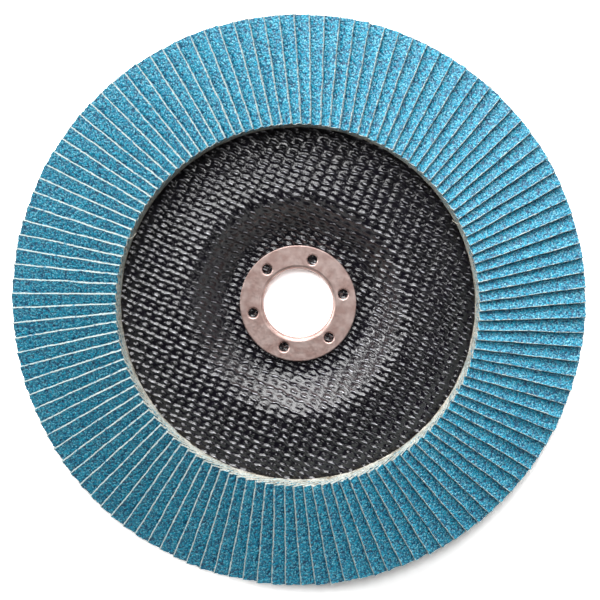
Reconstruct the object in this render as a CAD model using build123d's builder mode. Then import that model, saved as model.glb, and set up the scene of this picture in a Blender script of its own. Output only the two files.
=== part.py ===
"""Conical flap disc for an angle grinder, in millimetres.

The disc lies on the rear face of its hub, z = 0, with its arbor on the Z axis and its
abrasive side up. A moulded glass and resin plate carries a pressed steel arbor ring at its
hub and a bed of cured adhesive along its rim. The abrasive cloth flaps stand in that bed
like tilted cards: each lies on its clockwise neighbour, with its top edge showing.
"""

import os
from math import asin, atan2, cos, hypot, radians, sin, sqrt, tan

from build123d import *

os.makedirs("parts", exist_ok=True)

# --- The disc and its flaps
disc_diameter = 180.0
flap_count = 120
flaps_per_node = 3
flap_thickness = 1.05
flap_width = 16.0
flap_inner_radius = 56.2  # where the flaps' top corners begin
flap_edge_offset = 4.7  # from the arbor's axis to the line of a flap's top edge, in plan
flap_gap = 0.2  # between neighbours at their inner ends
flap_rim_gap = 0.6  # between neighbours at the rim
first_flap_angle = 0.75

# --- Backing plate
plate_diameter = 167.0
plate_thickness = 2.8
plate_cone_angle = 8.0  # how steeply the plate falls towards its rim
recess_floor_radius = 23.5  # to the corner where the flat hub meets the recess wall
recess_depth = 8.5  # from the hub's front face to the corner at the top of the wall
recess_wall_angle = 40.0
recess_floor_bend = 6.5
recess_crest_bend = 6.5
plate_rim_bevel = 0.6

# --- Arbor ring
bore_diameter = 22.23
ring_sheet = 1.2
ring_flange_diameter = 37.0
ring_mouth_round = 1.6
ring_bend = 0.4  # the bevel inside the bend, where the sheet turns from flange to collar
ring_edge_bevel = 0.25
ring_fit = 0.05  # between the collar and the plate's hole
grip_hole_count = 6
grip_hole_diameter = 3.2
grip_hole_circle = 29.2
first_grip_hole_angle = 12.0

# --- Adhesive bed
bed_lip = 1.6  # how far it reaches inside the flaps
bed_rim_inset = 0.9  # from the plate's rim
bed_under_flaps = 0.45
glue_line = 0.03  # between a flap's foot and its ramp

# --- Glass weave: its warp threads stand through the plate's front in rows
warp_pitch = 3.45
warp_angle = -24.5  # from the X axis to the rows
warp_width = 1.1
warp_height = 0.3
warp_root = 0.5  # how deep a row is rooted in the plate
warp_margin = 0.2  # from the rows' ends to the recess's bend and to the bed

# --- The plate's front, as a line from the hub to the rim
cone = radians(plate_cone_angle)
collar_radius = bore_diameter / 2 + ring_sheet
flange_height = plate_thickness + ring_sheet
crest_radius = recess_floor_radius + recess_depth / tan(radians(recess_wall_angle))
crest_height = plate_thickness + recess_depth
crest_run = recess_crest_bend * tan((cone + radians(recess_wall_angle)) / 2)
bed_inner_radius = flap_inner_radius - bed_lip
bed_outer_radius = plate_diameter / 2 - bed_rim_inset
apex_height = crest_height + crest_radius * tan(cone)  # where the cone would meet the axis


def on_cone(radius, above=0.0):
    """The point (radius, height) that lies a distance above the plate's conical front."""
    return (radius, apex_height - radius * tan(cone) + above / cos(cone))


# --- The flaps' tilt, at each end as steep as the gap to the next flap asks. A flap lies
# flatter at the rim, where its neighbours stand further apart, so it is creased once, from
# its inner top corner to its outer foot.
flap_pitch = 360 / flap_count
edge_rise = flap_edge_offset * sin(cone)


def flap_end(top_radius, gap):
    """One end of a flap: its tilt, its top edge's height off the cone, its distance down it."""
    outward = sqrt(top_radius**2 - flap_edge_offset**2)
    pitch_rise = (flap_thickness + gap) / radians(flap_pitch) + flap_width * sin(cone)
    tilt = asin(pitch_rise / hypot(outward, edge_rise)) - atan2(edge_rise, outward)
    rise = bed_under_flaps + flap_width * sin(tilt) + flap_thickness * cos(tilt)
    return tilt, rise, (outward - rise * sin(cone)) / cos(cone)


inner_tilt, inner_rise, inner_down = flap_end(flap_inner_radius, flap_gap)
outer_tilt, outer_rise, outer_down = flap_end(disc_diameter / 2, flap_rim_gap)


def flap_corners(number):
    """The corners of one abrasive face: inner top, inner foot, outer foot and outer top."""
    angle = radians(first_flap_angle + number * flap_pitch) + asin(2 * flap_edge_offset / disc_diameter)
    outward = Vector(cos(angle), sin(angle), 0)
    clockwise = Vector(sin(angle), -cos(angle), 0)
    upward = Vector(0, 0, 1)
    down_cone = outward * cos(cone) - upward * sin(cone)
    off_cone = outward * sin(cone) + upward * cos(cone)
    base = upward * apex_height + clockwise * flap_edge_offset
    inner_top = base + down_cone * inner_down + off_cone * inner_rise
    outer_top = base + down_cone * outer_down + off_cone * outer_rise
    inner_foot = inner_top - (clockwise * cos(inner_tilt) + off_cone * sin(inner_tilt)) * flap_width
    outer_foot = outer_top - (clockwise * cos(outer_tilt) + off_cone * sin(outer_tilt)) * flap_width
    return inner_top, inner_foot, outer_foot, outer_top


def facet_plane(first, second, third):
    """The plane through three corners, given in turn so that it faces out of the grit."""
    return Plane(origin=first, x_dir=second - first, z_dir=(third - first).cross(second - first))


# --- Warp rows: the glass threads that stand through between the recess and the bed
warp_inner_radius = crest_radius + crest_run * cos(cone) + warp_margin
warp_outer_radius = bed_inner_radius - warp_margin
warp_count = 2 * int(warp_outer_radius / warp_pitch) + 1
with BuildPart() as warp_rows:
    with BuildSketch(Plane.XZ):
        with BuildLine():
            Polyline(
                on_cone(warp_inner_radius, -warp_root),
                on_cone(warp_inner_radius, warp_height),
                on_cone(warp_outer_radius, warp_height),
                on_cone(warp_outer_radius, -warp_root),
                close=True,
            )
        make_face()
    revolve(axis=Axis.Z)
    with BuildSketch(Plane.XY.rotated((0, 0, warp_angle))):
        with GridLocations(0, warp_pitch, 1, warp_count):
            Rectangle(2 * warp_outer_radius, warp_width)
    extrude(amount=apex_height, mode=Mode.INTERSECT)

# --- Backing plate: one moulding of even thickness, turned from its front line
with BuildPart() as backing_plate:
    with BuildSketch(Plane.XZ) as plate_section:
        with BuildLine() as plate_line:
            plate_front = FilletPolyline(
                (collar_radius + ring_fit, plate_thickness),
                (recess_floor_radius, plate_thickness),
                (crest_radius, crest_height),
                on_cone(plate_diameter / 2),
                radius=[recess_floor_bend, recess_crest_bend],
            )
            offset(plate_front, amount=plate_thickness, side=Side.RIGHT, mode=Mode.ADD)
        make_face()
        hub_corners = plate_section.vertices().sort_by(Axis.X)[:2]
        chamfer(hub_corners.sort_by(Axis.Y)[-1], length=ring_bend + ring_fit)
        chamfer(plate_section.vertices().sort_by(Axis.X)[-2:], length=plate_rim_bevel)
    revolve(axis=Axis.Z)
    add(warp_rows.part)

backing_plate.part.label = "backing_plate"
export_step(backing_plate.part, "parts/backing_plate.step")

# --- Arbor ring: a steel sheet drawn into a collar, with a flange that lies on the hub
with BuildPart() as arbor_ring:
    with BuildSketch(Plane.XZ):
        with BuildLine():
            FilletPolyline(
                (bore_diameter / 2, 0),
                (bore_diameter / 2, flange_height),
                (ring_flange_diameter / 2 - ring_edge_bevel, flange_height),
                radius=ring_mouth_round,
            )
            Polyline(
                (ring_flange_diameter / 2 - ring_edge_bevel, flange_height),
                (ring_flange_diameter / 2, flange_height - ring_edge_bevel),
                (ring_flange_diameter / 2, plate_thickness),
                (collar_radius + ring_bend, plate_thickness),
                (collar_radius, plate_thickness - ring_bend),
                (collar_radius, 0),
                (bore_diameter / 2, 0),
            )
        make_face()
    revolve(axis=Axis.Z)
    with BuildSketch(Plane.XY.offset(plate_thickness)):
        with PolarLocations(grip_hole_circle / 2, grip_hole_count, start_angle=first_grip_hole_angle):
            Circle(grip_hole_diameter / 2)
    extrude(amount=ring_sheet, mode=Mode.SUBTRACT)

arbor_ring.part.label = "arbor_ring"
export_step(arbor_ring.part, "parts/arbor_ring.step")

# --- Adhesive bed: a cured ring whose top is a ratchet of ramps, one under each flap's foot
tooth_run = radians(flap_pitch) * bed_outer_radius
blank_thickness = 2 * bed_under_flaps + tooth_run * sin(outer_tilt) * cos(outer_tilt)
with BuildPart() as adhesive_bed:
    with BuildSketch(Plane.XZ):
        with BuildLine():
            Polyline(
                on_cone(bed_inner_radius),
                on_cone(bed_inner_radius, blank_thickness),
                on_cone(bed_outer_radius, blank_thickness),
                on_cone(bed_outer_radius),
                close=True,
            )
        make_face()
    revolve(axis=Axis.Z)
    for number in range(flap_count):
        inner_top, inner_foot, outer_foot, outer_top = flap_corners(number)
        foot_plane = facet_plane(inner_foot, outer_foot, outer_top)
        with BuildSketch(foot_plane.offset(-flap_thickness - glue_line)):
            with Locations((bed_outer_radius / 2, glue_line)):
                Rectangle(2 * bed_outer_radius, 2 * tooth_run, align=(Align.CENTER, Align.MAX))
    extrude(amount=2 * blank_thickness, mode=Mode.SUBTRACT)

adhesive_bed.part.label = "adhesive_bed"
export_step(adhesive_bed.part, "parts/adhesive_bed.step")

# --- Flaps: strips of abrasive cloth, a few neighbours to a node
for node in range(flap_count // flaps_per_node):
    with BuildPart() as flaps:
        for number in range(node * flaps_per_node, (node + 1) * flaps_per_node):
            inner_top, inner_foot, outer_foot, outer_top = flap_corners(number)
            into_cloth = facet_plane(inner_top, inner_foot, outer_foot).z_dir * -1
            for corners in ((inner_top, inner_foot, outer_foot), (inner_top, outer_foot, outer_top)):
                plane = facet_plane(*corners)
                with BuildSketch(plane):
                    Polygon(*[tuple(plane.to_local_coords(corner))[:2] for corner in corners], align=None)
                extrude(amount=flap_thickness, dir=into_cloth)

    flaps.part.label = f"flaps_{node + 1:02d}"
    export_step(flaps.part, f"parts/flaps_{node + 1:02d}.step")
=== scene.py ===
# %% [markdown]
# # A flap disc, dressed for the camera
# A flap disc is sanding cloth for an angle grinder: about a hundred strips of abrasive cloth
# stand round the rim of a moulded plate like tilted playing cards. The CAD model gives every
# size and place. This notebook loads it as a fixed frame, then models what CAD leaves plain:
# the grit and cut threads of the flaps, the glass weave of the plate, the pressed steel ring.
# Everything is in metres, so one named value turns millimetres into Blender's unit.

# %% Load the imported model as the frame
import random
from math import asin, atan2, cos, degrees, hypot, pi, radians, sin, sqrt, tan

import bmesh
import bpy
import numpy as np
from mathutils import Matrix, Vector, noise


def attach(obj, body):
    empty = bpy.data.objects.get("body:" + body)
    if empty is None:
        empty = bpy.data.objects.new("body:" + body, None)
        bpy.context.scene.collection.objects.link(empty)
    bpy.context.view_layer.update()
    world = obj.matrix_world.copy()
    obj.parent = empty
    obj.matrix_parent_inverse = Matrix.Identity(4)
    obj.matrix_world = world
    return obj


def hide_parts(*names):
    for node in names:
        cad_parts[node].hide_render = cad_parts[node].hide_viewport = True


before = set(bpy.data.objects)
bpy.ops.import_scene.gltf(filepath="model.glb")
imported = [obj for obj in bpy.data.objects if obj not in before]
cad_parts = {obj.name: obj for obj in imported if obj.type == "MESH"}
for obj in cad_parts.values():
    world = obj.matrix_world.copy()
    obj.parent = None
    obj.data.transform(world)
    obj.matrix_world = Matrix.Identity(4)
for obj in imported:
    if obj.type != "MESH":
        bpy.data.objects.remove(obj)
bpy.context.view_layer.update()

MM = 0.001


def in_mm(values, digits=1):
    """Lengths in millimetres, rounded for printing."""
    return [round(value / MM, digits) for value in values]


# %% [markdown]
# ## The camera
# The disc lies on its back and the camera looks down its arbor, from a little towards one
# edge. A real camera at arm's length sees near parts larger than far ones, so the distance
# matters as much as the angle: it sets how wide the wall inside the flaps appears. The
# camera is placed by a distance and two small lean angles, then turned to look at a point.

# %% Camera
camera_distance = 420 * MM
camera_lean_x = radians(1.2)
camera_lean_y = radians(5.4)
look_at = Vector((0.7 * MM, 1.5 * MM, 8.0 * MM))
lens_over_sensor = 2.227  # focal length as a share of the sensor's width

camera_data = bpy.data.cameras.new("studio_camera")
camera_data.sensor_width = 36.0
camera_data.lens = camera_data.sensor_width * lens_over_sensor
camera_data.clip_start, camera_data.clip_end = 0.01, 100.0
camera = bpy.data.objects.new("studio_camera", camera_data)
bpy.context.scene.collection.objects.link(camera)
bpy.context.scene.camera = camera

lean = Vector((sin(camera_lean_x), sin(camera_lean_y), 0))
lean.z = sqrt(1 - lean.length_squared)
camera.location = Vector((0, 0, look_at.z)) + lean * camera_distance
back = (camera.location - look_at).normalized()
right = Vector((0, 1, 0)).cross(back).normalized()  # the picture's top edge is towards +Y
camera.rotation_euler = Matrix((right, back.cross(right), back)).transposed().to_euler()
print("camera at, mm:", in_mm(camera.location))

# %% [markdown]
# ## Adding nodes and colours
# A material is a small graph of nodes. One helper adds a node with its settings and its
# inputs, where an input is either a plain value or the output of an earlier node. Colours
# are written as sRGB hex, the way a colour picker shows them, and one function turns them
# into the linear values that the renderer works in.

# %% Node and colour helpers
# A Mix node has one set of sockets for each kind of data, all with the same names, so those
# for colours go by their numbers.
FACTOR, FIRST, SECOND, MIXED = 0, 6, 7, 2


def linear(hex_colour):
    """An sRGB hex colour as a linear (red, green, blue, 1)."""
    parts = [int(hex_colour[i:i + 2], 16) / 255 for i in (0, 2, 4)]
    return [c / 12.92 if c <= 0.04045 else ((c + 0.055) / 1.055) ** 2.4 for c in parts] + [1]


def grey(level):
    """A linear grey, from 0 for black to 1 for white."""
    return [level] * 3 + [1]


def add_node(owner, kind, inputs=None, stops=(), **settings):
    """Adds a node to a material or world; inputs are values or other nodes' outputs."""
    node = owner.node_tree.nodes.new(kind)
    for name, value in settings.items():
        setattr(node, name, value)
    for socket, value in (inputs or {}).items():
        if isinstance(value, bpy.types.NodeSocket):
            owner.node_tree.links.new(value, node.inputs[socket])
        else:
            node.inputs[socket].default_value = value
    for number, (position, colour) in enumerate(stops):  # the ends of a colour ramp
        node.color_ramp.elements[number].position = position
        node.color_ramp.elements[number].color = colour
    return node


def new_material(name):
    """An empty node material."""
    material = bpy.data.materials.new(name)
    material.use_nodes = True
    material.node_tree.nodes.clear()
    return material


print("mid grey, linear:", [round(part, 3) for part in linear("808080")])

# %% [markdown]
# ## Studio light
# Product pictures are lit by large soft lamps. The main one stands beyond the far edge and
# rakes over the disc, so that every cut edge and every thread throws a small highlight. One
# higher up fills the grit evenly. A long low strip behind them shines on the steep wall of
# the recess and on the cut ends of the flaps. A lamp at the left lights the edges that face
# it and leaves those on the right dark, and a small one at the right adds a few glints.

# %% Lamps
def softbox(name, azimuth, elevation, distance, width, height, power):
    """An area lamp that faces the disc; azimuth counts from +X towards +Y, in degrees."""
    lamp_data = bpy.data.lights.new(name, "AREA")
    lamp_data.shape = "RECTANGLE"
    lamp_data.size = width
    lamp_data.size_y = height
    lamp_data.energy = power
    lamp = bpy.data.objects.new(name, lamp_data)
    bpy.context.scene.collection.objects.link(lamp)
    flat = cos(radians(elevation))
    towards = Vector((
        flat * cos(radians(azimuth)), flat * sin(radians(azimuth)), sin(radians(elevation)),
    ))
    lamp.location = towards * distance
    lamp.rotation_euler = towards.to_track_quat("Z", "Y").to_euler()
    return lamp


softbox("far_softbox", azimuth=93, elevation=35, distance=1.3, width=1.1, height=0.6, power=14)
softbox("high_softbox", azimuth=95, elevation=66, distance=1.4, width=0.4, height=0.4, power=5)
softbox("low_strip", azimuth=78, elevation=14, distance=1.5, width=2.8, height=0.28, power=22)
softbox("left_wing", azimuth=163, elevation=24, distance=1.4, width=0.5, height=0.4, power=9)
softbox("right_fill", azimuth=350, elevation=60, distance=1.4, width=0.3, height=0.3, power=1.8)

# %% [markdown]
# ## The room
# Black resin shows whatever it reflects. A white room would turn it grey, so the ceiling is
# kept dim, and only low down, where a studio has its paper backdrop, does the room look
# white, and then only to the camera, in reflections and through glass. The Light Path node
# tells those rays from the ones that carry light, so the backdrop sends none to the disc.

# %% Which rays see the backdrop
def seen_straight(owner):
    """1 for rays from the camera, off shiny surfaces or through glass, and 0 for others."""
    ray = add_node(owner, "ShaderNodeLightPath")
    seen = ray.outputs["Is Camera Ray"]
    for kind in ("Is Glossy Ray", "Is Transmission Ray"):
        either = add_node(owner, "ShaderNodeMath", {0: seen, 1: ray.outputs[kind]},
                          operation="MAXIMUM")
        seen = either.outputs[0]
    return seen

# %% World
ceiling_level = 0.04  # it fills the shadows a little
backdrop_top, ceiling_from = 0.22, 0.5  # heights in the room, as the sine of the elevation

world = bpy.data.worlds.new("studio_room")
bpy.context.scene.world = world
world.use_nodes = True
world.node_tree.nodes.clear()
towards = add_node(world, "ShaderNodeSeparateXYZ", {
    0: add_node(world, "ShaderNodeTexCoord").outputs["Generated"]})
low = add_node(world, "ShaderNodeMapRange", {
    "Value": towards.outputs["Z"], "From Min": backdrop_top, "From Max": ceiling_from,
    "To Min": 1.0, "To Max": 0.0})
backdrop = add_node(world, "ShaderNodeMath", {0: seen_straight(world), 1: low.outputs[0]},
                    operation="MULTIPLY")
room = add_node(world, "ShaderNodeMix", {
    FACTOR: backdrop.outputs[0], FIRST: grey(ceiling_level), SECOND: grey(1)},
    data_type="RGBA")
shine = add_node(world, "ShaderNodeBackground", {"Color": room.outputs[MIXED], "Strength": 1.0})
add_node(world, "ShaderNodeOutputWorld", {"Surface": shine.outputs[0]})
print("nodes in the room:", len(world.node_tree.nodes))

# %% [markdown]
# ## The floor
# The disc lies on a sheet of matt white paper. The light that the paper throws back is that
# of ordinary pale paper. To the camera it looks whiter, as in an exposure made for a pure
# white ground, and it still keeps the disc's shadow. The sheet ends before the lamps, where
# the backdrop of the room, just as white, takes over.

# %% Floor
floor_half = 0.8
floor_mesh = bmesh.new()
bmesh.ops.create_grid(floor_mesh, x_segments=1, y_segments=1, size=floor_half)
floor_data = bpy.data.meshes.new("floor")
floor_mesh.to_mesh(floor_data)
floor_mesh.free()
floor = bpy.data.objects.new("floor", floor_data)
bpy.context.scene.collection.objects.link(floor)
print("floor half width, m:", floor_half)

# %% Paper
paper_level = 0.7  # the share of the light that pale paper throws back
seen_white = 2.8  # for camera rays only, so that lit paper reaches pure white

paper = new_material("matt_white_paper")
ray = add_node(paper, "ShaderNodeLightPath")
shade = add_node(paper, "ShaderNodeMix", {
    FACTOR: seen_straight(paper), FIRST: grey(paper_level), SECOND: grey(1)},
    data_type="RGBA")
shade = add_node(paper, "ShaderNodeMix", {
    FACTOR: ray.outputs["Is Camera Ray"], FIRST: shade.outputs[MIXED],
    SECOND: grey(seen_white)}, data_type="RGBA")
matt = add_node(paper, "ShaderNodeBsdfDiffuse", {"Color": shade.outputs[MIXED]})
add_node(paper, "ShaderNodeOutputMaterial", {"Surface": matt.outputs[0]})
floor.data.materials.append(paper)
print("nodes in the paper:", len(paper.node_tree.nodes))

# %% [markdown]
# ## Finishing a piece
# Each piece is modelled as a bmesh in its true place, so its object stays at the origin. The
# same few steps end every piece: move the bmesh to an object, smooth the faces but keep the
# sharp edges, give it its materials, hang it on the body it rides on, and hide the CAD node
# that it stands for.

# %% Finish helper
def finish_piece(name, bm, materials, node, sharp_angle=40, flat_faces=()):
    """Turns a bmesh into a finished piece that stands for a CAD node."""
    mesh = bpy.data.meshes.new(name)
    bm.to_mesh(mesh)
    bm.free()
    mesh.shade_smooth()
    mesh.set_sharp_from_angle(angle=radians(sharp_angle))
    for polygon in mesh.polygons:
        if polygon.index in flat_faces:
            polygon.use_smooth = False
    for material in materials:
        mesh.materials.append(material)
    piece = bpy.data.objects.new(name, mesh)
    bpy.context.scene.collection.objects.link(piece)
    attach(piece, "root")
    if node:
        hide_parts(node)
    return piece


def triangles(piece):
    """How many triangles a mesh piece has."""
    return sum(len(polygon.vertices) - 2 for polygon in piece.data.polygons)


def open_edges(bm):
    """How many edges of a bmesh have a face on one side only."""
    return sum(edge.is_boundary for edge in bm.edges)


print("triangles of the floor:", triangles(floor))

# %% [markdown]
# ## Abrasive cloth: the grit side
# The cloth is polyester and cotton, coated with zirconia alumina grains that stand in a
# baked resin, then sealed with a second coat of resin dyed blue. The eye sees grains under
# a millimetre across, each a little different in tint, with dark hollows between them and
# satin glints on their crowns. A Voronoi texture gives one cell to each grain; its distance
# from the cell's middle shapes the bump and darkens the colour towards the hollows as painted
# shade, and its random colour tints the grain. A noise paints light cyan highlights here and
# there as the glints. Close to a cut edge the grit has broken away, and the pale cloth shows.

# %% Grit material
grain = 0.80 * MM  # coarse grit, drawn a little coarser than life so that it shows
facet_and_painted_glint_size = 0.52 * MM  # the facets of the bump and the painted glints, coarser than life as well
chip = 1.3 * MM
grain_relief = 0.34 * MM

grit = new_material("zirconia_grit_in_blue_resin")
place = add_node(grit, "ShaderNodeTexCoord").outputs["Object"]
grains = add_node(grit, "ShaderNodeTexVoronoi", {
    "Vector": place, "Scale": 1 / grain, "Randomness": 1.0})
tint = add_node(grit, "ShaderNodeSeparateColor", {0: grains.outputs["Color"]})
body = add_node(grit, "ShaderNodeValToRGB", {0: tint.outputs[0]},
                stops=((0, linear("037ca4")), (1, linear("18b0d2"))))
# Painted shade: each grain's colour darkens towards its edges, in the hollows between grains.
painted_hollow_shade = add_node(grit, "ShaderNodeValToRGB", {0: grains.outputs["Distance"]},
                  stops=((0.35, grey(1)), (0.80, linear("2c849c"))))
grains_with_painted_shade = add_node(grit, "ShaderNodeMix", {
    FACTOR: 1.0, FIRST: body.outputs[0], SECOND: painted_hollow_shade.outputs[0]},
    data_type="RGBA", blend_type="MULTIPLY")
facets_and_painted_glints = add_node(grit, "ShaderNodeTexNoise", {
    "Vector": place, "Scale": 1 / facet_and_painted_glint_size, "Detail": 2.0})
# Painted highlight: where the noise is high, the grains are painted light cyan as glints.
painted_glint_mask = add_node(grit, "ShaderNodeValToRGB", {0: facets_and_painted_glints.outputs[0]},
                  stops=((0.53, grey(0)), (0.64, grey(1))))
with_painted_glints = add_node(grit, "ShaderNodeMix", {
    FACTOR: painted_glint_mask.outputs[0], FIRST: grains_with_painted_shade.outputs[MIXED], SECOND: linear("76d0e6")},
    data_type="RGBA")
relief = add_node(grit, "ShaderNodeMath", {
    0: facets_and_painted_glints.outputs[0], 1: grains.outputs["Distance"]}, operation="SUBTRACT")
bump = add_node(grit, "ShaderNodeBump", {
    "Strength": 1.0, "Distance": grain_relief, "Height": relief.outputs[0]})
print("grains across a flap's visible strip:", round(4 * MM / grain))

# %% Broken grit along the cut edges
from_edge = add_node(grit, "ShaderNodeAttribute", attribute_name="from_edge")  # in mm
ragged = add_node(grit, "ShaderNodeTexNoise", {
    "Vector": place, "Scale": 1 / chip, "Detail": 3.0})
raggedness = 0.75
bare_or_painted_highlight = add_node(grit, "ShaderNodeMath", {
    0: ragged.outputs[0], 1: raggedness, 2: from_edge.outputs["Fac"]}, operation="MULTIPLY_ADD")
chipped = add_node(grit, "ShaderNodeValToRGB", {0: bare_or_painted_highlight.outputs[0]},
                   stops=((0.44, grey(1)), (0.50, grey(0))))
shown = add_node(grit, "ShaderNodeMix", {
    FACTOR: chipped.outputs[0], FIRST: with_painted_glints.outputs[MIXED], SECOND: linear("c9d6d2")},
    data_type="RGBA")
coat = add_node(grit, "ShaderNodeBsdfPrincipled", {
    "Base Color": shown.outputs[MIXED], "Roughness": 0.34, "IOR": 1.58,
    "Normal": bump.outputs[0]})
add_node(grit, "ShaderNodeOutputMaterial", {"Surface": coat.outputs[0]})
print("nodes in the grit:", len(grit.node_tree.nodes))

# %% [markdown]
# ## Abrasive cloth: its cut edges
# A steel rule die cuts the strips, so the edges of the cloth show its cut yarns: pale, matt
# and fluffy, darker where dust has settled. Along the top edge the resin has soaked in from
# the grit side, which leaves a broken, blueish white line between dark blue bleeds. At the
# ends, where the wall inside the flaps shows, the cloth keeps its cream colour.

# %% Cut cloth materials
yarn = 0.5 * MM  # from one yarn of the cloth to the next
soil_patch = 4 * MM
bleed = 1.5 * MM
fluff = 0.6 * MM


def cut_cloth(name, shaded, pale, dye_share):
    """A material for a cut edge of cloth, with resin bleeding into it here and there."""
    material = new_material(name)
    place = add_node(material, "ShaderNodeTexCoord").outputs["Object"]
    fibres = add_node(material, "ShaderNodeTexNoise", {
        "Vector": place, "Scale": 1 / yarn, "Detail": 4.0})
    soiled = add_node(material, "ShaderNodeTexNoise", {
        "Vector": place, "Scale": 1 / soil_patch, "Detail": 2.0})
    mixed = add_node(material, "ShaderNodeMath", {
        0: fibres.outputs[0], 1: soiled.outputs[0]}, operation="MULTIPLY")
    tone = add_node(material, "ShaderNodeValToRGB", {0: mixed.outputs[0]},
                    stops=((0.17, linear(shaded)), (0.33, linear(pale))))
    bleeds = add_node(material, "ShaderNodeTexNoise", {
        "Vector": place, "Scale": 1 / bleed, "Detail": 4.0})
    stained = add_node(material, "ShaderNodeMapRange", {
        "Value": bleeds.outputs[0], "From Min": 0.47, "From Max": 0.55,
        "To Min": 0.0, "To Max": dye_share})
    dyed = add_node(material, "ShaderNodeMix", {
        FACTOR: stained.outputs[0], FIRST: tone.outputs[0], SECOND: linear("2f7a92")},
        data_type="RGBA")
    lumps = add_node(material, "ShaderNodeMath", {
        0: fibres.outputs[0], 1: bleeds.outputs[0]}, operation="ADD")
    bump = add_node(material, "ShaderNodeBump", {
        "Strength": 1.0, "Distance": fluff, "Height": lumps.outputs[0]})
    fabric = add_node(material, "ShaderNodeBsdfPrincipled", {
        "Base Color": dyed.outputs[MIXED], "Roughness": 0.85, "IOR": 1.45,
        "Normal": bump.outputs[0]})
    add_node(material, "ShaderNodeOutputMaterial", {"Surface": fabric.outputs[0]})
    return material


cloth = cut_cloth("polycotton_cloth_cut_edge", "948a78", "f1eadc", dye_share=0.12)
sealed_cloth = cut_cloth("resin_soaked_cloth_edge", "46606a", "cfdcdb", dye_share=0.85)
print("materials:", grit.name, cloth.name, sealed_cloth.name)

# %% [markdown]
# ## The flaps
# A flap is a plain strip of cloth that stands in the glue like a tilted card. It has to lie
# just where the CAD model has it, so its place is worked out in the same way: the gap to the
# next flap says how steep it stands, at the inner end and at the rim, and in between the two
# tilts are blended, so that the cloth has a soft twist where the CAD flap has one crease.

# %% Flap sizes, as in the CAD source
flap_count = 120
flaps_per_node = 3
flap_thickness = 1.05 * MM
flap_width = 16.0 * MM
flap_inner_radius = 56.2 * MM
disc_radius = 90.0 * MM
flap_edge_offset = 4.7 * MM
flap_gap = 0.2 * MM
flap_rim_gap = 0.4 * MM  # cloth sags onto its neighbour, so the gap is smaller than in CAD
first_flap_angle = radians(0.75)
bed_under_flaps = 0.45 * MM
cone = radians(8.0)
plate_thickness = 2.8 * MM
recess_floor_radius = 23.5 * MM
recess_depth = 8.5 * MM
recess_wall_angle = radians(40.0)

crest_radius = recess_floor_radius + recess_depth / tan(recess_wall_angle)
crest_height = plate_thickness + recess_depth
apex_height = crest_height + crest_radius * tan(cone)
flap_pitch = 2 * pi / flap_count
edge_rise = flap_edge_offset * sin(cone)


def flap_end(top_radius, gap):
    """One end of a flap: its tilt, its top edge's height off the cone, its distance down it."""
    outward = sqrt(top_radius**2 - flap_edge_offset**2)
    pitch_rise = (flap_thickness + gap) / flap_pitch + flap_width * sin(cone)
    tilt = asin(pitch_rise / hypot(outward, edge_rise)) - atan2(edge_rise, outward)
    rise = bed_under_flaps + flap_width * sin(tilt) + flap_thickness * cos(tilt)
    return Vector((tilt, rise, (outward - rise * sin(cone)) / cos(cone)))


inner_end = flap_end(flap_inner_radius, flap_gap)
outer_end = flap_end(disc_radius, flap_rim_gap)
flap_length = outer_end[2] - inner_end[2]
print("tilt of a flap at its inner end and at the rim, degrees:",
      round(degrees(inner_end[0]), 1), round(degrees(outer_end[0]), 1))

# %% From a flap's own directions to its place on the disc
def flap_frame(number):
    """A flap's own directions: down the cone, clockwise round it and off its surface."""
    angle = first_flap_angle + number * flap_pitch + asin(flap_edge_offset / disc_radius)
    outward = Vector((cos(angle), sin(angle), 0))
    clockwise = Vector((sin(angle), -cos(angle), 0))
    down_cone = outward * cos(cone) - Vector((0, 0, sin(cone)))
    off_cone = outward * sin(cone) + Vector((0, 0, cos(cone)))
    return down_cone, clockwise, off_cone


def on_flap(directions, x, y, z):
    """The place of a point x along a flap, y from its top edge to its foot, z out of the grit."""
    down_cone, clockwise, off_cone = directions
    tilt, rise, down = inner_end.lerp(outer_end, x / flap_length)  # a blend of the two ends
    apex = Vector((0, 0, apex_height))
    top = apex + down_cone * down + off_cone * rise + clockwise * flap_edge_offset
    to_foot = -clockwise * cos(tilt) - off_cone * sin(tilt)
    return top + to_foot * y + (off_cone * cos(tilt) - clockwise * sin(tilt)) * z


print("first flap's inner top corner, mm:", in_mm(on_flap(flap_frame(0), 0, 0, 0)))

# %% [markdown]
# ### One blank
# The die cuts all the strips alike, so one blank is modelled and copied. Only the part near
# the top edge shows, because the next flap covers the rest, so the mesh is fine there and
# coarse below. It is a flat grid whose border is extruded down twice, once for the layer of
# grit and once for the cloth. Each vertex keeps its distance from the cut edges as an
# attribute, which the grit's material reads to lay the cloth bare along them.

# %% One blank flap
cells_along = 74
rows = [0, 0.25, 0.7, 1.15, 1.6, 2.1, 2.6, 3.1, 3.6, 4.1, 4.6, 5.1, 5.6, 10.5, 16.0]  # in mm
grit_layer = 0.70 * MM
cloth_from = grit_layer * 1.01  # what lies deeper than this is cloth
hair = 0.01 * MM
grit_slot, cloth_slot, sealed_slot = 0, 1, 2  # the order of a flap's materials

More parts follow.
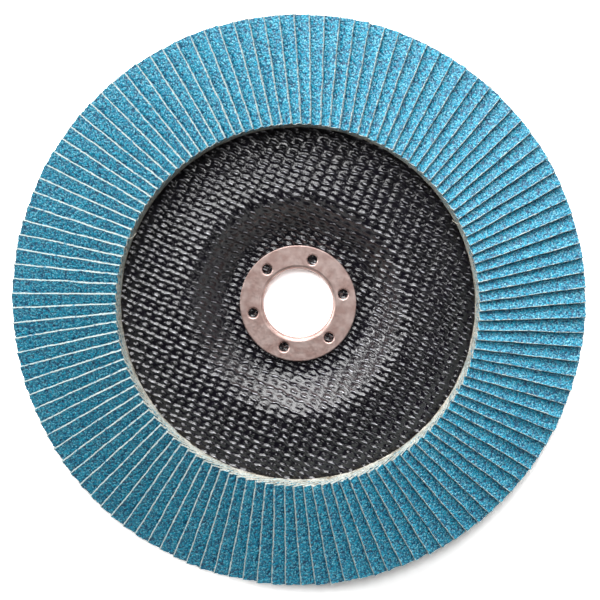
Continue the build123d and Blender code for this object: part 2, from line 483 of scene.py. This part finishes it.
blank = bmesh.new()
bmesh.ops.create_grid(blank, x_segments=cells_along, y_segments=len(rows) - 1, size=0.5)
for vertex in blank.verts:
    row = round((vertex.co.y + 0.5) * (len(rows) - 1))
    vertex.co = ((vertex.co.x + 0.5) * flap_length, rows[row] * MM, 0)
blank.verts.layers.float.new("from_edge")
rim = [edge for edge in blank.edges if edge.is_boundary]
for depth in (grit_layer, flap_thickness - grit_layer):
    walls = bmesh.ops.extrude_edge_only(blank, edges=rim)["geom"]
    lowered = [item for item in walls if isinstance(item, bmesh.types.BMVert)]
    bmesh.ops.translate(blank, verts=lowered, vec=(0, 0, -depth))
    rim = [item for item in walls if isinstance(item, bmesh.types.BMEdge) and item.is_boundary]
bmesh.ops.contextual_create(blank, geom=rim)
bmesh.ops.recalc_face_normals(blank, faces=blank.faces)
for face in blank.faces:
    centre = face.calc_center_median()
    if centre.z < -cloth_from:
        face.material_index = sealed_slot if centre.y < hair else cloth_slot
print("faces of one flap:", len(blank.faces), "and its open edges:", open_edges(blank))
blank_mesh = bpy.data.meshes.new("flap_blank")
blank.to_mesh(blank_mesh)
blank.free()

# %% [markdown]
# ### No two flaps alike
# The glue lets each strip slide and turn by a fraction of a degree, the free edge curls and
# sways, the cut threads fray at the corners, and the grains stand unevenly. Each of these is
# a small shift of the blank's vertices, strongest at the free edge and gone where the glue
# holds the cloth. Noise gives the smooth ones, with its own line through the noise for each
# flap, and a seeded random number gives the rest, so that every run makes the same disc.

# %% How unevenly a flap lies
free_reach = 9 * MM  # how far from the top edge the cloth is free to move
edge_reach = 0.6 * MM  # how far from a cut edge its threads fray
fluff_reach, fluff_size = 1.6 * MM, 0.14 * MM  # cut threads swell and close the gap at the wall
sway_length, sway_aside, sway_up = 7 * MM, 0.16 * MM, 0.10 * MM
fray_length, fray_aside = 0.8 * MM, 0.11 * MM
yarn_pitch, yarn_depth, fringe = 0.7 * MM, 0.4 * MM, 0.30 * MM  # of the yarns at a cut end
rim_run, rim_reach = 0.45 * MM, 5 * MM  # below its top corner the outer end runs outwards
grains_to = 6 * MM  # below this the next flap hides the grains
seed = random.Random(41)


def lay(flap, number):
    """Bends a copy of the blank as cloth lies, and moves it to its place on the plate."""
    directions = flap_frame(number)
    from_edge = flap.verts.layers.float["from_edge"]
    shift = seed.uniform(-0.30, 0.0) * MM  # of the outer end, inwards
    swing = seed.gauss(0, 0.0035)  # in the cloth's own plane, in radians
    curl = seed.uniform(-0.12, 0.22) * MM  # of the rim's corner
    lift = seed.uniform(-0.10, 0.10) * MM  # of the top edge
    for vertex in flap.verts:
        x, y, z = vertex.co
        on_grit, inside = z > -hair, min(x, flap_length - x, y)
        if on_grit:
            vertex[from_edge] = inside / MM
        sway = noise.noise(Vector((x / sway_length, number * 3.7, 0)))
        fray = noise.noise(Vector((x / fray_length, number * 9.1, 5)))
        free = max(0, 1 - y / free_reach) ** 2
        at_top = max(0, 1 - y / edge_reach)
        at_end = max(0, 1 - x / edge_reach) + max(0, 1 - (flap_length - x) / edge_reach)
        if z < -cloth_from:
            z -= fluff_size * max(0, 1 - x / fluff_reach)
        y += sway * sway_aside * free + fray * fray_aside * at_top
        y += swing * (x - flap_length / 2) * free
        pulled = noise.noise(Vector((y / yarn_pitch, z / yarn_depth, number * 5.3)))
        below = min(max(y / rim_reach, 0), 1.2)
        x += (shift + rim_run * below**1.5) * (max(x, 0) / flap_length) ** 8
        x += pulled * fringe * at_end
        z += (curl * x / flap_length + lift * 0.5) * free + sway * sway_up * free
        if on_grit and inside > 0.2 * MM and vertex.co.y < grains_to:
            z += seed.uniform(-0.13, 0.07) * MM
        vertex.co = on_flap(directions, x, y, z)


print("free width of a flap, mm:", in_mm([free_reach]))

# %% Lay the flaps and join them in threes
for node_number in range(flap_count // flaps_per_node):
    trio = bmesh.new()
    for number in range(node_number * flaps_per_node, (node_number + 1) * flaps_per_node):
        flap = bmesh.new()
        flap.from_mesh(blank_mesh)
        lay(flap, number)
        laid_mesh = bpy.data.meshes.new("flap")
        flap.to_mesh(laid_mesh)
        flap.free()
        trio.from_mesh(laid_mesh)
        bpy.data.meshes.remove(laid_mesh)
    name = f"flaps_{node_number + 1:02d}"
    trio_piece = finish_piece(f"cloth_{name}", trio, [grit, cloth, sealed_cloth], name,
                              sharp_angle=55)
print("flaps made:", flap_count, "with", triangles(trio_piece), "triangles in each three")

# %% [markdown]
# ## The plate's form
# The plate is one moulding of phenolic resin over glass cloth. From the arbor outwards its
# front runs flat, climbs out of the recess in a smooth S and falls away along a cone. That
# line is a few straight runs with rounded corners, so a helper rounds the corners, and the
# height at any radius is read from the result.

# %% The plate's front line
hub_hole_radius = 12.365 * MM
hub_chamfer = 0.45 * MM
plate_radius = 83.5 * MM
bend_radius = 6.5 * MM
bend_steps = 12


def on_cone(radius, above=0.0):
    """The point (radius, height) that lies a distance above the plate's conical front."""
    return Vector((radius, apex_height - radius * tan(cone) + above / cos(cone)))


def rounded(points, radii, steps):
    """A line through the points, with its inner corners rounded."""
    line = [points[0]]
    for before, corner, after, radius in zip(points, points[1:], points[2:], radii):
        back, on = (before - corner).normalized(), (after - corner).normalized()
        half_corner = back.angle(on) / 2
        centre = corner + (back + on).normalized() * radius / sin(half_corner)
        start = corner + back * radius / tan(half_corner) - centre
        sweep = start.angle_signed(corner + on * radius / tan(half_corner) - centre)
        line += [centre + Matrix.Rotation(-sweep * step / steps, 2) @ start
                 for step in range(steps + 1)]
    return line + [points[-1]]


front_line = rounded(
    [Vector((hub_hole_radius + hub_chamfer, plate_thickness)),
     Vector((recess_floor_radius, plate_thickness)),
     Vector((crest_radius, crest_height)),
     on_cone(plate_radius)],
    [bend_radius, bend_radius], bend_steps)
print("front line, mm:", [in_mm(point) for point in front_line[::4]])

# %% [markdown]
# ## The weave in the plate
# The glass cloth is an open mesh: thin twisted warp threads run one way, broad flat weft
# bands cross them every 3.45 mm, and resin fills the windows between. The relief is real
# geometry, because light rakes over it: a grid is laid out along the threads, closer where
# the warp threads are, and each vertex is lifted by the height of the thread above it. The
# eye gets long bright lines with a row of short dashes between them.

# %% Weave relief
weave_pitch = 3.45 * MM
weave_angle = radians(-24.5)
weave_proud = 0.60 * MM  # from window to thread top, drawn prouder than life so that it shows
warp_half, weft_half, crown_half = 0.11, 0.25, 0.13  # half widths, as shares of the pitch
luck_size = 64
thread_luck = np.random.default_rng(7).uniform(0, 1, (luck_size, luck_size))


def weave_relief(x, y):
    """Height of the threads above the resin, from 0 to weave_proud, at places in the plate."""
    along = (x * cos(weave_angle) + y * sin(weave_angle)) / weave_pitch
    across = (y * cos(weave_angle) - x * sin(weave_angle)) / weave_pitch
    # The threads wander by a few hundredths of the pitch.
    across = across + 0.05 * np.sin(along * 0.9 + 1.3) + 0.03 * np.sin(along * 2.3 + across * 0.7)
    along = along + 0.04 * np.sin(across * 1.1 + 0.4)
    # Each crossing has its own luck, which says how proud and how wide its weft band is.
    row, column = np.round(across), np.round(along)
    luck = thread_luck[(column.astype(int) + luck_size // 2) % luck_size,
                       (np.floor(across).astype(int) + luck_size // 2) % luck_size]
    off_warp, off_weft = across - row, along - column
    # A warp thread is a rounded ridge that snakes, because it is twisted.
    twist = 0.055 * np.cos(2 * pi * along) + 0.02 * np.sin(5.1 * along + row)
    warp = np.exp(-((off_warp - twist) / warp_half) ** 2)
    warp = warp * (0.88 + 0.12 * np.cos(2 * pi * along + 0.6))
    # A weft band is flat, with a crown halfway between two warp threads.
    crown = np.exp(-((0.5 - np.abs(off_warp)) / crown_half) ** 2)
    crown = 0.10 + (0.62 + 0.28 * luck) * crown
    weft = crown / (1 + (np.abs(off_weft) / (weft_half + 0.06 * luck)) ** 8)
    # The higher of the two shows, with a soft change from one to the other.
    return weave_proud * np.clip((warp**4 + np.clip(weft, 0, 1) ** 4) ** 0.25, 0, 1)


print("relief on a warp thread, mm:", in_mm([weave_relief(np.zeros(1), np.zeros(1))[0]], 2))

# %% The woven front as a grid along the threads
woven_from, woven_to = 13.4 * MM, 56.0 * MM
pitches_wide = 34
cells_along_pitch, cells_across_pitch = 8, 12
gather = 0.45  # how strongly the rows draw together, where 1 would make them meet
grid = bmesh.new()
bmesh.ops.create_grid(grid, x_segments=pitches_wide * cells_along_pitch,
                      y_segments=pitches_wide * cells_across_pitch,
                      size=pitches_wide * weave_pitch / 2)
for vertex in grid.verts:  # towards the warp threads and the crowns between them
    turn = 4 * pi * vertex.co.y / weave_pitch
    vertex.co.y -= gather * weave_pitch / (4 * pi) * sin(turn)
bmesh.ops.rotate(grid, verts=grid.verts, cent=(0, 0, 0),
                 matrix=Matrix.Rotation(weave_angle, 3, "Z"))
outside = [face for face in grid.faces
           if not woven_from < face.calc_center_median().length < woven_to]
bmesh.ops.delete(grid, geom=outside, context="FACES")
for vertex in grid.verts:
    if vertex.is_boundary:  # the stair-stepped rims become circles
        rim_radius = woven_to if vertex.co.length > crest_radius else woven_from
        vertex.co *= rim_radius / vertex.co.length
print("woven faces:", len(grid.faces))

# %% [markdown]
# ### The rest of the moulding
# The bare rim under the flaps, the rear and the hub's hole are plain turned surfaces, so
# their section is drawn as one line and spun round the arbor. The rear follows the front at
# an even thickness. The section stops a little short of the weave at both ends, and a strip
# of faces then bridges each gap, which closes the plate.

# %% The turned part of the plate
rim_bevel = 0.6 * MM
cone_middle = 70 * MM  # one more ring of vertices halfway down the cone
outer_seam, inner_seam = woven_to * 1.012, woven_from * 0.985
turned_steps = 192
down, off = Vector((cos(cone), -sin(cone))), Vector((sin(cone), cos(cone)))
rim = on_cone(plate_radius)
before_hole, past_rim = front_line[0] - Vector((MM, 0)), rim + down
rear_line = []
for before, point, after in zip([before_hole] + front_line, front_line,
                                front_line[1:] + [past_rim]):
    run = (after - before).normalized()
    rear_line.append(point - Vector((-run.y, run.x)) * plate_thickness)
rear_middle = on_cone(cone_middle) - Vector((0, plate_thickness / cos(cone)))
section = [on_cone(outer_seam), on_cone(cone_middle), rim - down * rim_bevel]
section += [rim - off * rim_bevel, rim - off * (plate_thickness - rim_bevel)]
section += [rear_line[-1] - down * rim_bevel, rear_middle] + rear_line[-2::-2]
section += [Vector((hub_hole_radius, 0)), Vector((hub_hole_radius, plate_thickness - hub_chamfer)),
            front_line[0], Vector((inner_seam, plate_thickness))]

turned = bmesh.new()
line = [turned.verts.new((point.x, 0, point.y)) for point in section]
for start, end in zip(line, line[1:]):
    turned.edges.new((start, end))
bmesh.ops.spin(turned, geom=turned.verts[:] + turned.edges[:], axis=(0, 0, 1), cent=(0, 0, 0),
               angle=2 * pi, steps=turned_steps, use_merge=True)
print("turned faces:", len(turned.faces))

# %% Lift the weave off the front line
fade_from, fade_length = 37 * MM, 14 * MM  # towards the hub the threads sink into the resin
radius_line = [point.x for point in front_line]
height_line = [point.y for point in front_line]
at = np.array([vertex.co for vertex in grid.verts])
radius = np.hypot(at[:, 0], at[:, 1])
pressed_in = weave_proud * np.clip((fade_from - radius) / fade_length, 0, 1)
relief = weave_relief(at[:, 0], at[:, 1])
height = np.interp(radius, radius_line, height_line) + relief - pressed_in
crown_layer = grid.verts.layers.float.new("crown")
for vertex, lifted, z in zip(grid.verts, relief, height):
    vertex[crown_layer] = lifted / weave_proud
    if vertex.is_boundary:
        z = np.interp(vertex.co.length, radius_line, height_line)
    vertex.co.z = z
print("thread tops sink at the hub by, mm:", in_mm([pressed_in.max()], 2))

# %% Close the plate
seam_reach = 0.02  # as a share of the seam's radius
turned_mesh = bpy.data.meshes.new("turned")
turned.to_mesh(turned_mesh)
turned.free()
grid.from_mesh(turned_mesh)
bpy.data.meshes.remove(turned_mesh)
for middle in (woven_from, woven_to):
    rims = [edge for edge in grid.edges if edge.is_boundary
            and abs(Vector(edge.verts[0].co.xy).length / middle - 1) < seam_reach]
    closed = bmesh.ops.bridge_loops(grid, edges=rims)
    print("closing faces:", len(closed["faces"]))
bmesh.ops.recalc_face_normals(grid, faces=grid.faces)
print("open edges left in the plate:", open_edges(grid))

# %% [markdown]
# ## Resin over glass
# The plate is pressed hot from phenolic resin, black and a little violet, against a smooth
# tool. It gives the eye a deep black with small hard highlights on each thread. On the
# crowns of the threads pale patches are painted into the colour as highlights: the height
# of the weave, kept as an attribute, says where.

# %% Plate material
fibre = 0.5 * MM  # bundles of glass fibres, as single ones are too fine to show
fibre_stretch = (0.35, 1.0, 1.0)  # they are drawn out along the warp
resin_lump = 1.4 * MM
smear = 9 * MM
resin_relief = 0.22 * MM

resin = new_material("phenolic_resin_over_glass_weave")
place = add_node(resin, "ShaderNodeTexCoord").outputs["Object"]
along_threads = add_node(resin, "ShaderNodeMapping", {
    "Vector": place, "Rotation": (0, 0, -weave_angle)})
stretched = add_node(resin, "ShaderNodeMapping", {
    "Vector": along_threads.outputs[0], "Scale": fibre_stretch})
fibres = add_node(resin, "ShaderNodeTexNoise", {
    "Vector": stretched.outputs[0], "Scale": 1 / fibre, "Detail": 4.0})
lumps = add_node(resin, "ShaderNodeTexNoise", {
    "Vector": place, "Scale": 1 / resin_lump, "Detail": 3.0})
smears = add_node(resin, "ShaderNodeTexNoise", {
    "Vector": place, "Scale": 1 / smear, "Detail": 4.0})
black = add_node(resin, "ShaderNodeValToRGB", {0: smears.outputs[0]},
                 stops=((0.35, linear("09070f")), (0.70, linear("16121d"))))
print("bundles of fibres in one pitch of the weave:", round(weave_pitch / fibre))

# %% Painted highlights on the thread crowns, and gloss
crown = add_node(resin, "ShaderNodeAttribute", attribute_name="crown")
highlight_fibre_share = 0.6  # how far the fibres, and not the height alone, say where the highlights are painted
painted_highlight_level = add_node(resin, "ShaderNodeMath", {
    0: fibres.outputs[0], 1: highlight_fibre_share, 2: crown.outputs["Fac"]}, operation="MULTIPLY_ADD")
bare_or_painted_highlight = add_node(resin, "ShaderNodeMapRange", {
    "Value": painted_highlight_level.outputs[0], "From Min": 1.12, "From Max": 1.28, "To Min": 0.0, "To Max": 1.0})
# Painted highlight: pale patches on the crowns of the threads, over the black resin.
black_with_painted_highlights = add_node(resin, "ShaderNodeMix", {
    FACTOR: bare_or_painted_highlight.outputs[0], FIRST: black.outputs[0], SECOND: linear("c9c9d2")},
    data_type="RGBA")
gloss = add_node(resin, "ShaderNodeMapRange", {
    "Value": lumps.outputs[0], "From Min": 0.3, "From Max": 0.7, "To Min": 0.10, "To Max": 0.22})
relief = add_node(resin, "ShaderNodeMath", {
    0: fibres.outputs[0], 1: lumps.outputs[0]}, operation="ADD")
bump = add_node(resin, "ShaderNodeBump", {
    "Strength": 0.55, "Distance": resin_relief, "Height": relief.outputs[0]})
moulded = add_node(resin, "ShaderNodeBsdfPrincipled", {
    "Base Color": black_with_painted_highlights.outputs[MIXED], "Roughness": gloss.outputs[0], "IOR": 1.75,
    "Normal": bump.outputs[0]})
add_node(resin, "ShaderNodeOutputMaterial", {"Surface": moulded.outputs[0]})
plate = finish_piece("woven_backing_plate", grid, [resin], "backing_plate")
print("plate triangles:", triangles(plate))

# %% [markdown]
# ## The arbor ring
# The ring is pressed from zinc plated sheet: a flat flange, a rounded mouth drawn down into
# a collar, and six grip holes whose rims the punch has dimpled. The flat face is filled
# between circles, and each circle's edge loop is then led along a short line of rounded
# stations, by extruding the loop and moving the new vertices out from the circle's centre.
# The fill needs points that are well apart, so this piece is modelled in millimetres and
# scaled down at the end.

# %% Ring sizes, in millimetres
sheet = 1.2
bore_radius = 11.115
flange_radius = 18.5
ring_seat = plate_thickness / MM
flange_top = ring_seat + sheet
mouth_round = 1.15  # a little tighter than in CAD, so that it stays clear of the holes' lips
grip_hole_radius = 1.55
grip_hole_lip = 0.5
grip_hole_count = 6
grip_hole_circle = 14.6
first_grip_hole_angle = 12
rim_round = 0.3
collar_round = 0.2
bend = 0.4
print("the ring's flange lies at, mm:", ring_seat, "to", flange_top)

# %% Helpers for circles
def circle(bm, centre, radius, height, segments):
    """The edges of a circle, each of them once and always in the same order."""
    made = bmesh.ops.create_circle(bm, segments=segments, radius=radius, cap_ends=False,
                                   matrix=Matrix.Translation((*centre, height)))
    return list(dict.fromkeys(edge for vertex in made["verts"] for edge in vertex.link_edges))


def lead(bm, edges, centre, stations):
    """Extrudes a circular loop through stations (radius, height) about a centre."""
    for radius, height in stations:
        made = bmesh.ops.extrude_edge_only(bm, edges=edges)["geom"]
        for vertex in (item for item in made if isinstance(item, bmesh.types.BMVert)):
            away = (vertex.co.xy - centre).normalized() * radius
            vertex.co = (*(centre + away), height)
        edges = [item for item in made if isinstance(item, bmesh.types.BMEdge) and item.is_boundary]
    return edges


def quarter(radius_from, height_from, radius_to, height_to, steps):
    """Stations on a quarter turn that leaves flat and ends upright."""
    turns = [pi / 2 * step / steps for step in range(1, steps + 1)]
    return [(radius_from + (radius_to - radius_from) * sin(turn),
             height_to + (height_from - height_to) * cos(turn)) for turn in turns]


print("a quarter turn in three steps:",
      [(round(radius, 2), round(height, 2)) for radius, height in quarter(0, 1, 1, 0, 3)])

# %% The ring's face, with its rim and holes
ring = bmesh.new()
middle = Vector((0, 0))
turns = [radians(first_grip_hole_angle + 360 / grip_hole_count * number)
         for number in range(grip_hole_count)]
hole_centres = [Vector((cos(turn), sin(turn))) * grip_hole_circle for turn in turns]
outer_start, mouth_start = flange_radius - rim_round, bore_radius + mouth_round
hole_start = grip_hole_radius + grip_hole_lip
outer = circle(ring, middle, outer_start, flange_top, segments=160)
inner = circle(ring, middle, mouth_start, flange_top, segments=120)
holes = [circle(ring, centre, hole_start, flange_top, segments=40) for centre in hole_centres]
bmesh.ops.triangle_fill(ring, use_beauty=True, edges=outer + inner + sum(holes, []),
                        normal=(0, 0, 1))
foot = lead(ring, outer, middle,
            quarter(outer_start, flange_top, flange_radius, flange_top - rim_round, 4)
            + [(flange_radius, ring_seat)])
for centre, rim_edges in zip(hole_centres, holes):
    foot += lead(ring, rim_edges, centre,
                 quarter(hole_start, flange_top, grip_hole_radius, flange_top - grip_hole_lip, 5)
                 + [(grip_hole_radius, ring_seat)])
print("faces so far:", len(ring.faces))

# %% The ring's mouth, collar and rear
collar_radius = bore_radius + sheet
foot += lead(ring, inner, middle,
             quarter(mouth_start, flange_top, bore_radius, flange_top - mouth_round, 8)
             + [(bore_radius, collar_round), (bore_radius + collar_round, 0),
                (collar_radius - collar_round, 0), (collar_radius, collar_round),
                (collar_radius, ring_seat - bend), (collar_radius + bend, ring_seat)])
bmesh.ops.triangle_fill(ring, use_beauty=True, edges=foot, normal=(0, 0, -1))
bmesh.ops.scale(ring, verts=ring.verts, vec=(MM, MM, MM))
bmesh.ops.recalc_face_normals(ring, faces=ring.faces)
ring.faces.index_update()
level = {face.index for face in ring.faces if abs(face.normal.z) > 0.9999}  # kept flat
print("open edges left in the ring:", open_edges(ring))

# %% [markdown]
# ## Plated steel
# The sheet is zinc plated and passivated. That gives a soft, warm grey metal with a pinkish
# bloom, blotchy where the bath dried, and no mirror image: fine scuffs spread the highlight.

# %% Ring material
blotch = 3.5 * MM
scuff = 0.7 * MM  # drawn coarser than life so that it shows
scuff_depth = 0.05 * MM

steel = new_material("zinc_plated_pressed_steel")
place = add_node(steel, "ShaderNodeTexCoord").outputs["Object"]
blotches = add_node(steel, "ShaderNodeTexNoise", {
    "Vector": place, "Scale": 1 / blotch, "Detail": 4.0})
scuffs = add_node(steel, "ShaderNodeTexNoise", {
    "Vector": place, "Scale": 1 / scuff, "Detail": 5.0})
tone = add_node(steel, "ShaderNodeValToRGB", {0: blotches.outputs[0]},
                stops=((0.38, linear("cfafa7")), (0.62, linear("e9d0c9"))))
dulled = add_node(steel, "ShaderNodeMapRange", {
    "Value": scuffs.outputs[0], "From Min": 0.3, "From Max": 0.7, "To Min": 0.40, "To Max": 0.54})
bump = add_node(steel, "ShaderNodeBump", {
    "Strength": 0.20, "Distance": scuff_depth, "Height": scuffs.outputs[0]})
plated = add_node(steel, "ShaderNodeBsdfPrincipled", {
    "Base Color": tone.outputs[0], "Metallic": 1.0, "Roughness": dulled.outputs[0],
    "Normal": bump.outputs[0]})
add_node(steel, "ShaderNodeOutputMaterial", {"Surface": plated.outputs[0]})
ring_piece = finish_piece("plated_arbor_ring", ring, [steel], "arbor_ring",
                          sharp_angle=30, flat_faces=level)
print("ring triangles:", triangles(ring_piece))

# %% [markdown]
# ## The adhesive bed
# The bed is epoxy paste that was pressed under the flaps and baked. Only its lip shows, at
# the foot of the wall of flap ends. The CAD mesh has its ratchet of ramps, so a copy of it
# is merged, and its inner rim is drawn back under the flaps until a thin bead is left. The
# cured paste is dull, lumpy and grey-brown, with dust in it.

# %% Bed mesh
bead_radius = 55.85 * MM
rim_width = 0.1 * MM
bed = bmesh.new()
bed.from_mesh(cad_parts["adhesive_bed"].data)
bmesh.ops.remove_doubles(bed, verts=bed.verts, dist=0.001 * MM)
for vertex in bed.verts:
    radius = vertex.co.xy.length
    if radius < bead_radius - rim_width:
        vertex.co.xy *= bead_radius / radius
        vertex.co.z -= (bead_radius - radius) * tan(cone)
print("open edges left in the bed:", open_edges(bed))

# %% Bed material
paste_lump = 1.1 * MM
paste_relief = 0.4 * MM

epoxy = new_material("baked_epoxy_adhesive")
place = add_node(epoxy, "ShaderNodeTexCoord").outputs["Object"]
lumps = add_node(epoxy, "ShaderNodeTexNoise", {
    "Vector": place, "Scale": 1 / paste_lump, "Detail": 4.0})
dusty = add_node(epoxy, "ShaderNodeValToRGB", {0: lumps.outputs[0]},
                 stops=((0.38, linear("8f8878")), (0.62, linear("c6c1b0"))))
bump = add_node(epoxy, "ShaderNodeBump", {
    "Strength": 0.9, "Distance": paste_relief, "Height": lumps.outputs[0]})
cured = add_node(epoxy, "ShaderNodeBsdfPrincipled", {
    "Base Color": dusty.outputs[0], "Roughness": 0.6, "IOR": 1.5, "Normal": bump.outputs[0]})
add_node(epoxy, "ShaderNodeOutputMaterial", {"Surface": cured.outputs[0]})
bed_piece = finish_piece("epoxy_bed", bed, [epoxy], "adhesive_bed")
print("bed triangles:", triangles(bed_piece))

# %% [markdown]
# ## Loose threads
# Where the die cut the cloth a few warp threads pulled out, and they curl over the inner
# rim of the flaps. Each is a small tube: a capped circle, whose cap is extruded link by link
# and turned a little each time, so that the tube droops and curls.

# %% Threads
thread_radius = 0.11 * MM
thread_link = 0.42 * MM
thread_links = 9
droop = 0.025 * MM  # more with each link
loose_ends = (  # each one's angle, radius in mm, height in mm and the side it curls to
    (24, 56.9, 16.3, 1.0), (27, 57.2, 16.1, -0.8), (158, 57.0, 16.0, 0.9),
    (161, 56.8, 16.2, -1.0), (267, 56.9, 16.0, 1.1), (283, 57.1, 16.1, -0.7),
)
threads = bmesh.new()
chance = random.Random(5)
for angle, start_radius, height, side in loose_ends:
    outward = Vector((cos(radians(angle)), sin(radians(angle)), 0))
    point = outward * start_radius * MM + Vector((0, 0, height * MM))
    step = -outward * thread_link
    facing = step.to_track_quat("Z", "Y").to_matrix().to_4x4()
    start = bmesh.ops.create_circle(threads, segments=6, radius=thread_radius, cap_ends=True,
                                    matrix=Matrix.Translation(point) @ facing)
    cap = next(face for face in threads.faces if start["verts"][0] in face.verts)
    for link in range(thread_links):
        made = bmesh.ops.extrude_face_region(threads, geom=[cap])["geom"]
        if link:  # the first cap closes the tube's rear end, and the later ones would lie inside
            bmesh.ops.delete(threads, geom=[cap], context="FACES_ONLY")
        cap = next(item for item in made if isinstance(item, bmesh.types.BMFace))
        tip = [item for item in made if isinstance(item, bmesh.types.BMVert)]
        bmesh.ops.translate(threads, verts=tip, vec=step)
        point = point + step
        turn = Matrix.Rotation(side * chance.uniform(0.10, 0.34), 3, "Z")
        step = turn @ step - Vector((0, 0, droop * link))
        bmesh.ops.rotate(threads, verts=tip, cent=point, matrix=turn)
bmesh.ops.recalc_face_normals(threads, faces=threads.faces)
print("open edges left in the threads:", open_edges(threads))
thread_piece = finish_piece("loose_threads", threads, [cloth], None,
                            sharp_angle=60)
print("thread triangles:", triangles(thread_piece))

bpy.context.scene.view_settings.view_transform = "Standard"
